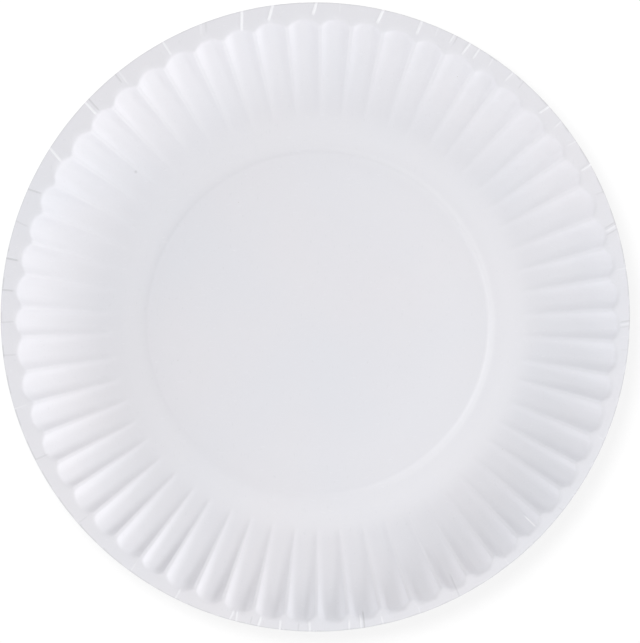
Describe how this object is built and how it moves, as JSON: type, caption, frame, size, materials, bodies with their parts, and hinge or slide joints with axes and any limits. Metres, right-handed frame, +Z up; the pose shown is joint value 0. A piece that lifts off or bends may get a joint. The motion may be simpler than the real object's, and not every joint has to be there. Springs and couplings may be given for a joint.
{
  "type": "paper plate",
  "caption": "Round white paper plate with a flat base, a steep fluted wall and a narrow flat flange.",
  "frame": {"origin": "middle of the underside, at the level of the surface that the plate stands on", "axes": "+Z up out of the eating side, +X through the middle of one flute's trough"},
  "size_m": [0.2286, 0.2286, 0.0159],
  "materials": {
    "paper": "matte white uncoated board"
  },
  "bodies": {
    "root": {"plate": "paper"}
  },
  "joints": []
}
